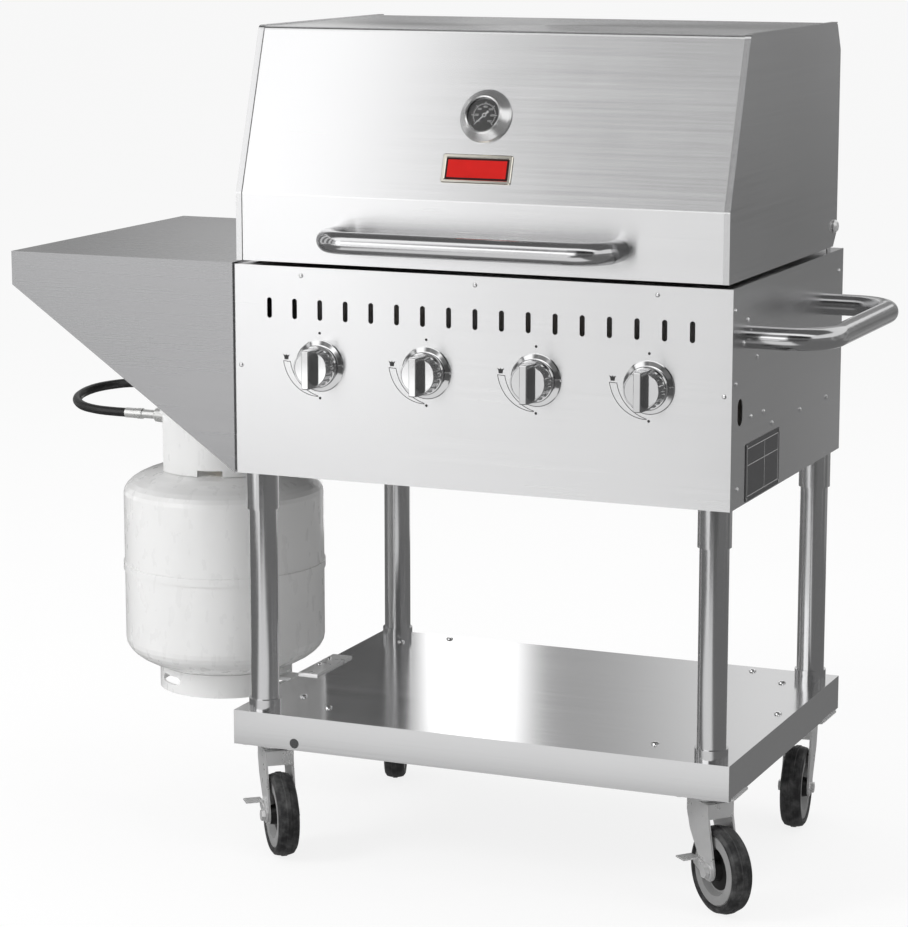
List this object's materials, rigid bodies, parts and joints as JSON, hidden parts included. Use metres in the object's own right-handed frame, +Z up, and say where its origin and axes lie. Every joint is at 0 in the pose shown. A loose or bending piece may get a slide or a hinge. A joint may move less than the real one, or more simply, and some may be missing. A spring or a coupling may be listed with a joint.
{
  "type": "gas grill",
  "caption": "Stainless gas grill with a hinged lid, knobs, side shelf, tube handles and a gas cylinder, on a caster cart.",
  "frame": {"origin": "on the floor, under the middle of the grill's box", "axes": "+X to the right along the front, +Y to the back, +Z up"},
  "size_m": [1.3492, 0.635, 1.2355],
  "materials": {
    "stainless_front": "brushed stainless sheet",
    "stainless_side": "brushed stainless sheet, mid grey",
    "polished_tube": "polished stainless tube",
    "chrome": "polished chrome",
    "zinc": "bright zinc plate",
    "tyre_rubber": "black rubber",
    "hub_grey": "grey moulded nylon",
    "inner_steel": "dull inner sheet steel",
    "brass": "machined brass",
    "black_trim": "satin black",
    "needle_white": "white lacquer",
    "gauge_lens": "clear glass",
    "tank_paint": "gloss off-white paint",
    "coupling_metal": "plated fittings and a pale nut",
    "regulator_grey": "cast grey",
    "hose_rubber": "black rubber hose"
  },
  "bodies": {
    "root": {"front_panel": "stainless_front", "lower_shelf": "stainless_front", "left_side_panel": "stainless_side", "right_side_panel": "stainless_side", "rear_panel": "stainless_side", "side_shelf": "stainless_side", "side_handle": "polished_tube", "leg_tubes": "polished_tube", "leg_sockets": "polished_tube", "caster_plates": "zinc", "hinge_bolts": "zinc", "screws": "zinc", "tank_bracket": "zinc", "box_liner": "inner_steel", "burners": "inner_steel", "heat_tents": "inner_steel", "gas_manifold": "inner_steel", "cooking_grates": "inner_steel", "tray_rails": "inner_steel", "gas_valves": "brass", "tank_valve": "brass", "knob_bezels": "black_trim", "tank_shell": "tank_paint", "tank_foot_ring": "tank_paint", "tank_collar": "tank_paint", "tank_coupling": "coupling_metal", "regulator": "regulator_grey", "hose": "hose_rubber"},
    "lid": {"lid_shell": "stainless_front", "lid_left_side": "stainless_side", "lid_right_side": "stainless_side", "lid_handle": "polished_tube", "gauge_case": "chrome", "gauge_dial": "black_trim", "gauge_glass": "gauge_lens"},
    "needle": {"gauge_needle": "needle_white"},
    "drip_tray": {"drip_tray": "inner_steel"},
    "handwheel": {"tank_handwheel": "black_trim"},
    "knob_push_1": {"spring_cup_1": "inner_steel"},
    "knob_1": {"knob_1": "chrome"},
    "knob_push_2": {"spring_cup_2": "inner_steel"},
    "knob_2": {"knob_2": "chrome"},
    "knob_push_3": {"spring_cup_3": "inner_steel"},
    "knob_3": {"knob_3": "chrome"},
    "knob_push_4": {"spring_cup_4": "inner_steel"},
    "knob_4": {"knob_4": "chrome"},
    "fork_front_left": {"fork_front_left": "zinc"},
    "wheel_front_left": {"tyre_front_left": "tyre_rubber", "hub_front_left": "hub_grey"},
    "brake_left": {"brake_lever_left": "zinc"},
    "fork_front_right": {"fork_front_right": "zinc"},
    "wheel_front_right": {"tyre_front_right": "tyre_rubber", "hub_front_right": "hub_grey"},
    "brake_right": {"brake_lever_right": "zinc"},
    "fork_back_left": {"fork_back_left": "zinc"},
    "wheel_back_left": {"tyre_back_left": "tyre_rubber", "hub_back_left": "hub_grey"},
    "fork_back_right": {"fork_back_right": "zinc"},
    "wheel_back_right": {"tyre_back_right": "tyre_rubber", "hub_back_right": "hub_grey"}
  },
  "joints": [
    {"name": "lid_hinge", "type": "hinge", "parent": "root", "child": "lid", "pos_m": [0.12325, 0.2725, 0.93], "axis": [-1, 0, 0], "range_deg": [0, 90]},
    {"name": "needle_turn", "type": "hinge", "parent": "lid", "child": "needle", "pos_m": [0.12325, -0.19447, 1.11536], "axis": [0, 0.9465, -0.3228], "range_deg": [0, 270]},
    {"name": "tray_slide", "type": "slide", "parent": "root", "child": "drip_tray", "axis": [0, 1, 0], "range_m": [0, 0.35]},
    {"name": "handwheel_turn", "type": "hinge", "parent": "root", "child": "handwheel", "pos_m": [-0.42375, 0.0455, 0.622], "axis": [0, 0, 1], "range_deg": [0, 540]},
    {"name": "knob_push_1", "type": "slide", "parent": "root", "child": "knob_push_1", "axis": [0, 1, 0], "range_m": [0, 0.004], "stiffness_N_per_m": 400},
    {"name": "knob_turn_1", "type": "hinge", "parent": "knob_push_1", "child": "knob_1", "pos_m": [-0.11975, -0.2345, 0.752], "axis": [0, -1, 0], "range_deg": [0, 180]},
    {"name": "knob_push_2", "type": "slide", "parent": "root", "child": "knob_push_2", "axis": [0, 1, 0], "range_m": [0, 0.004], "stiffness_N_per_m": 400},
    {"name": "knob_turn_2", "type": "hinge", "parent": "knob_push_2", "child": "knob_2", "pos_m": [0.04825, -0.2345, 0.752], "axis": [0, -1, 0], "range_deg": [0, 180]},
    {"name": "knob_push_3", "type": "slide", "parent": "root", "child": "knob_push_3", "axis": [0, 1, 0], "range_m": [0, 0.004], "stiffness_N_per_m": 400},
    {"name": "knob_turn_3", "type": "hinge", "parent": "knob_push_3", "child": "knob_3", "pos_m": [0.21625, -0.2345, 0.752], "axis": [0, -1, 0], "range_deg": [0, 180]},
    {"name": "knob_push_4", "type": "slide", "parent": "root", "child": "knob_push_4", "axis": [0, 1, 0], "range_m": [0, 0.004], "stiffness_N_per_m": 400},
    {"name": "knob_turn_4", "type": "hinge", "parent": "knob_push_4", "child": "knob_4", "pos_m": [0.38425, -0.2345, 0.752], "axis": [0, -1, 0], "range_deg": [0, 180]},
    {"name": "swivel_front_left", "type": "hinge", "parent": "root", "child": "fork_front_left", "pos_m": [-0.22075, -0.1895, 0.16], "axis": [0, 0, 1], "continuous": true},
    {"name": "wheel_front_left", "type": "hinge", "parent": "fork_front_left", "child": "wheel_front_left", "pos_m": [-0.19935, -0.21592, 0.0635], "axis": [0.7771, 0.6293, 0], "continuous": true},
    {"name": "brake_left", "type": "hinge", "parent": "fork_front_left", "child": "brake_left", "pos_m": [-0.19935, -0.21592, 0.0635], "axis": [-0.7771, -0.6293, 0], "range_deg": [0, 25]},
    {"name": "swivel_front_right", "type": "hinge", "parent": "root", "child": "fork_front_right", "pos_m": [0.46725, -0.1895, 0.16], "axis": [0, 0, 1], "continuous": true},
    {"name": "wheel_front_right", "type": "hinge", "parent": "fork_front_right", "child": "wheel_front_right", "pos_m": [0.4933, -0.21135, 0.0635], "axis": [0.6428, 0.766, 0], "continuous": true},
    {"name": "brake_right", "type": "hinge", "parent": "fork_front_right", "child": "brake_right", "pos_m": [0.4933, -0.21135, 0.0635], "axis": [-0.6428, -0.766, 0], "range_deg": [0, 25]},
    {"name": "swivel_back_left", "type": "hinge", "parent": "root", "child": "fork_back_left", "pos_m": [-0.22075, 0.2605, 0.16], "axis": [0, 0, 1], "continuous": true},
    {"name": "wheel_back_left", "type": "hinge", "parent": "fork_back_left", "child": "wheel_back_left", "pos_m": [-0.20912, 0.22855, 0.0635], "axis": [0.9397, 0.342, 0], "continuous": true},
    {"name": "swivel_back_right", "type": "hinge", "parent": "root", "child": "fork_back_right", "pos_m": [0.46725, 0.2605, 0.16], "axis": [0, 0, 1], "continuous": true},
    {"name": "wheel_back_right", "type": "hinge", "parent": "fork_back_right", "child": "wheel_back_right", "pos_m": [0.47139, 0.22675, 0.0635], "axis": [0.9925, 0.1219, 0], "continuous": true}
  ]
}
